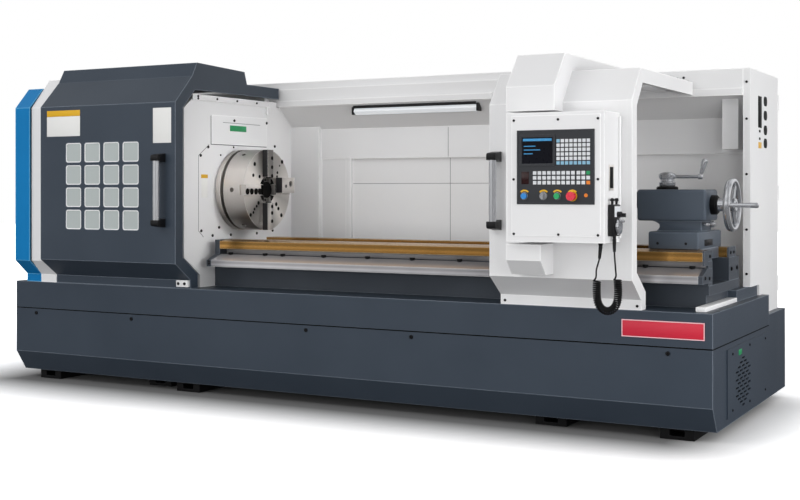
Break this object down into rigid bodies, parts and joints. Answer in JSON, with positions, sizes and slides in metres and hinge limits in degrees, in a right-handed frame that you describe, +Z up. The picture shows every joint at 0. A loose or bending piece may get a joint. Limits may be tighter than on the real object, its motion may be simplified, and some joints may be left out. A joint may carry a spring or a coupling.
{
  "type": "cnc turning lathe",
  "caption": "Flat-bed turning lathe with a jaw chuck, a sliding windowed door, a sliding control door with panel and hand pendant, a carriage and a tailstock.",
  "frame": {"origin": "middle of the footprint of the bounding box, on the floor under the feet", "axes": "+X along the bed from headstock to tailstock, +Y from the doors to the rear cabinet, +Z up"},
  "size_m": [4.627, 2.062, 1.974],
  "materials": {
    "slate_paint": "satin",
    "white_paint": "satin",
    "blue_paint": "satin",
    "black_steel": "matte",
    "rail_bronze": "ground",
    "polished_steel": "polished",
    "ground_steel": "ground",
    "cast": "painted",
    "chrome": "polished",
    "black_plastic": "matte",
    "panel_plastic": "satin",
    "screen_glass": "gloss",
    "window_sheet": "frosted",
    "lamp_lens": "satin",
    "rubber": "matte",
    "blue_cap": "gloss",
    "green_cap": "gloss",
    "red_cap": "gloss"
  },
  "bodies": {
    "machine": {"base_frame": "slate_paint", "base_deck": "slate_paint", "levelling_feet": "black_steel", "vent_panel": "slate_paint", "bed": "cast", "front_rail": "rail_bronze", "rear_rail": "rail_bronze", "screw_cover": "polished_steel", "headstock": "cast", "spindle_bearings": "ground_steel", "main_motor": "cast", "drive_belt": "rubber", "headstock_cover": "white_paint", "left_hood": "white_paint", "end_cover": "blue_paint", "rear_wall": "white_paint", "top_beam": "white_paint", "work_lamp": "lamp_lens", "cabinet": "white_paint"},
    "feed_screw": {"feed_screw": "ground_steel"},
    "cabinet_door": {"cabinet_door": "white_paint"},
    "spindle": {"spindle": "ground_steel", "chuck_plate": "ground_steel", "chuck_body": "ground_steel"},
    "jaw_top": {"jaw_top": "ground_steel"},
    "jaw_rear": {"jaw_rear": "ground_steel"},
    "jaw_bottom": {"jaw_bottom": "ground_steel"},
    "jaw_front": {"jaw_front": "ground_steel"},
    "motor_rotor": {"motor_pulley": "ground_steel"},
    "left_door": {"left_door": "slate_paint", "left_window": "window_sheet", "left_handle": "black_plastic", "left_shoes": "white_paint"},
    "right_door": {"right_door": "white_paint", "right_handle": "black_plastic", "right_shoes": "white_paint", "cable_housing": "white_paint", "control_box": "white_paint", "control_panel": "panel_plastic", "screen": "screen_glass", "console_box": "white_paint", "pendant_body": "black_plastic", "cord_gland": "black_plastic", "cord_lead": "rubber", "cord_coil": "rubber", "cord_tail": "rubber"},
    "blue_button": {"blue_button": "blue_cap"},
    "mode_selector": {"mode_selector": "black_plastic"},
    "green_button": {"green_button": "green_cap"},
    "emergency_stop": {"emergency_stop": "red_cap"},
    "pendant_wheel": {"pendant_wheel": "black_plastic"},
    "pendant_selector": {"pendant_selector": "black_plastic"},
    "carriage": {"saddle": "cast"},
    "cross_slide": {"cross_slide": "cast"},
    "tool_post": {"tool_post": "black_steel"},
    "tailstock": {"tailstock": "slate_paint"},
    "quill": {"quill": "polished_steel"},
    "tail_wheel": {"tail_wheel": "chrome"},
    "quill_lever": {"quill_lever": "chrome"},
    "bed_lever": {"bed_lever": "chrome"}
  },
  "joints": [
    {"name": "left_door_slide", "type": "slide", "parent": "machine", "child": "left_door", "axis": [1, 0, 0], "range_m": [0, 1.52]},
    {"name": "right_door_slide", "type": "slide", "parent": "machine", "child": "right_door", "axis": [1, 0, 0], "range_m": [-0.46, 0.22]},
    {"name": "spindle_spin", "type": "hinge", "parent": "machine", "child": "spindle", "pos_m": [-0.9635, -0.128, 1.215], "axis": [1, 0, 0], "continuous": true},
    {"name": "jaw_top_slide", "type": "slide", "parent": "spindle", "child": "jaw_top", "axis": [0, 0, 1], "range_m": [-0.015, 0.015]},
    {"name": "jaw_rear_slide", "type": "slide", "parent": "spindle", "child": "jaw_rear", "axis": [0, 1, 0], "range_m": [-0.015, 0.015]},
    {"name": "jaw_bottom_slide", "type": "slide", "parent": "spindle", "child": "jaw_bottom", "axis": [0, 0, -1], "range_m": [-0.015, 0.015]},
    {"name": "jaw_front_slide", "type": "slide", "parent": "spindle", "child": "jaw_front", "axis": [0, -1, 0], "range_m": [-0.015, 0.015]},
    {"name": "motor_spin", "type": "hinge", "parent": "machine", "child": "motor_rotor", "pos_m": [-1.9585, 0.389, 0.83], "axis": [1, 0, 0], "continuous": true},
    {"name": "carriage_slide", "type": "slide", "parent": "machine", "child": "carriage", "axis": [1, 0, 0], "range_m": [-1.45, 0]},
    {"name": "feed_screw_spin", "type": "hinge", "parent": "machine", "child": "feed_screw", "pos_m": [-0.0635, -0.413, 0.791], "axis": [1, 0, 0], "continuous": true},
    {"name": "cross_slide_move", "type": "slide", "parent": "carriage", "child": "cross_slide", "axis": [0, 1, 0], "range_m": [-0.15, 0.085]},
    {"name": "tool_post_index", "type": "hinge", "parent": "cross_slide", "child": "tool_post", "pos_m": [1.1765, -0.401, 1.1], "axis": [0, 0, 1], "continuous": true},
    {"name": "tailstock_slide", "type": "slide", "parent": "machine", "child": "tailstock", "axis": [1, 0, 0], "range_m": [-0.38, 0.03]},
    {"name": "tail_wheel_turn", "type": "hinge", "parent": "tailstock", "child": "tail_wheel", "pos_m": [2.1535, -0.128, 1.138], "axis": [1, 0, 0], "range_deg": [0, 3600]},
    {"name": "quill_slide", "type": "slide", "parent": "tailstock", "child": "quill", "axis": [-1, 0, 0], "range_m": [0, 0.12]},
    {"name": "quill_lever_turn", "type": "hinge", "parent": "tailstock", "child": "quill_lever", "pos_m": [1.8175, -0.128, 1.24], "axis": [0, 0, 1], "range_deg": [-60, 60]},
    {"name": "bed_lever_turn", "type": "hinge", "parent": "tailstock", "child": "bed_lever", "pos_m": [2.0465, -0.188, 1.04], "axis": [1, 0, 0], "range_deg": [-35, 35]},
    {"name": "blue_button_press", "type": "slide", "parent": "right_door", "child": "blue_button", "axis": [0, 1, 0], "range_m": [0, 0.004], "stiffness_N_per_m": 300},
    {"name": "green_button_press", "type": "slide", "parent": "right_door", "child": "green_button", "axis": [0, 1, 0], "range_m": [0, 0.004], "stiffness_N_per_m": 300},
    {"name": "emergency_stop_press", "type": "slide", "parent": "right_door", "child": "emergency_stop", "axis": [0, 1, 0], "range_m": [0, 0.006]},
    {"name": "mode_selector_turn", "type": "hinge", "parent": "right_door", "child": "mode_selector", "pos_m": [1.4775, -1.001, 1.185], "axis": [0, 1, 0], "range_deg": [-60, 60]},
    {"name": "pendant_wheel_turn", "type": "hinge", "parent": "right_door", "child": "pendant_wheel", "pos_m": [1.8165, -0.9, 1.043], "axis": [1, 0, 0], "continuous": true},
    {"name": "pendant_selector_turn", "type": "hinge", "parent": "right_door", "child": "pendant_selector", "pos_m": [1.8165, -0.9, 1.1], "axis": [1, 0, 0], "range_deg": [-60, 60]},
    {"name": "cabinet_door_swing", "type": "hinge", "parent": "machine", "child": "cabinet_door", "pos_m": [2.1445, 1.024, 1.2], "axis": [0, 0, -1], "range_deg": [0, 110]}
  ],
  "couplings": [
    {"joint": "motor_spin", "follows": "spindle_spin", "ratio": 1.6667},
    {"joint": "feed_screw_spin", "follows": "carriage_slide", "rad_per_m": 314.16},
    {"joint": "quill_slide", "follows": "tail_wheel_turn", "m_per_rad": 0.001909}
  ]
}
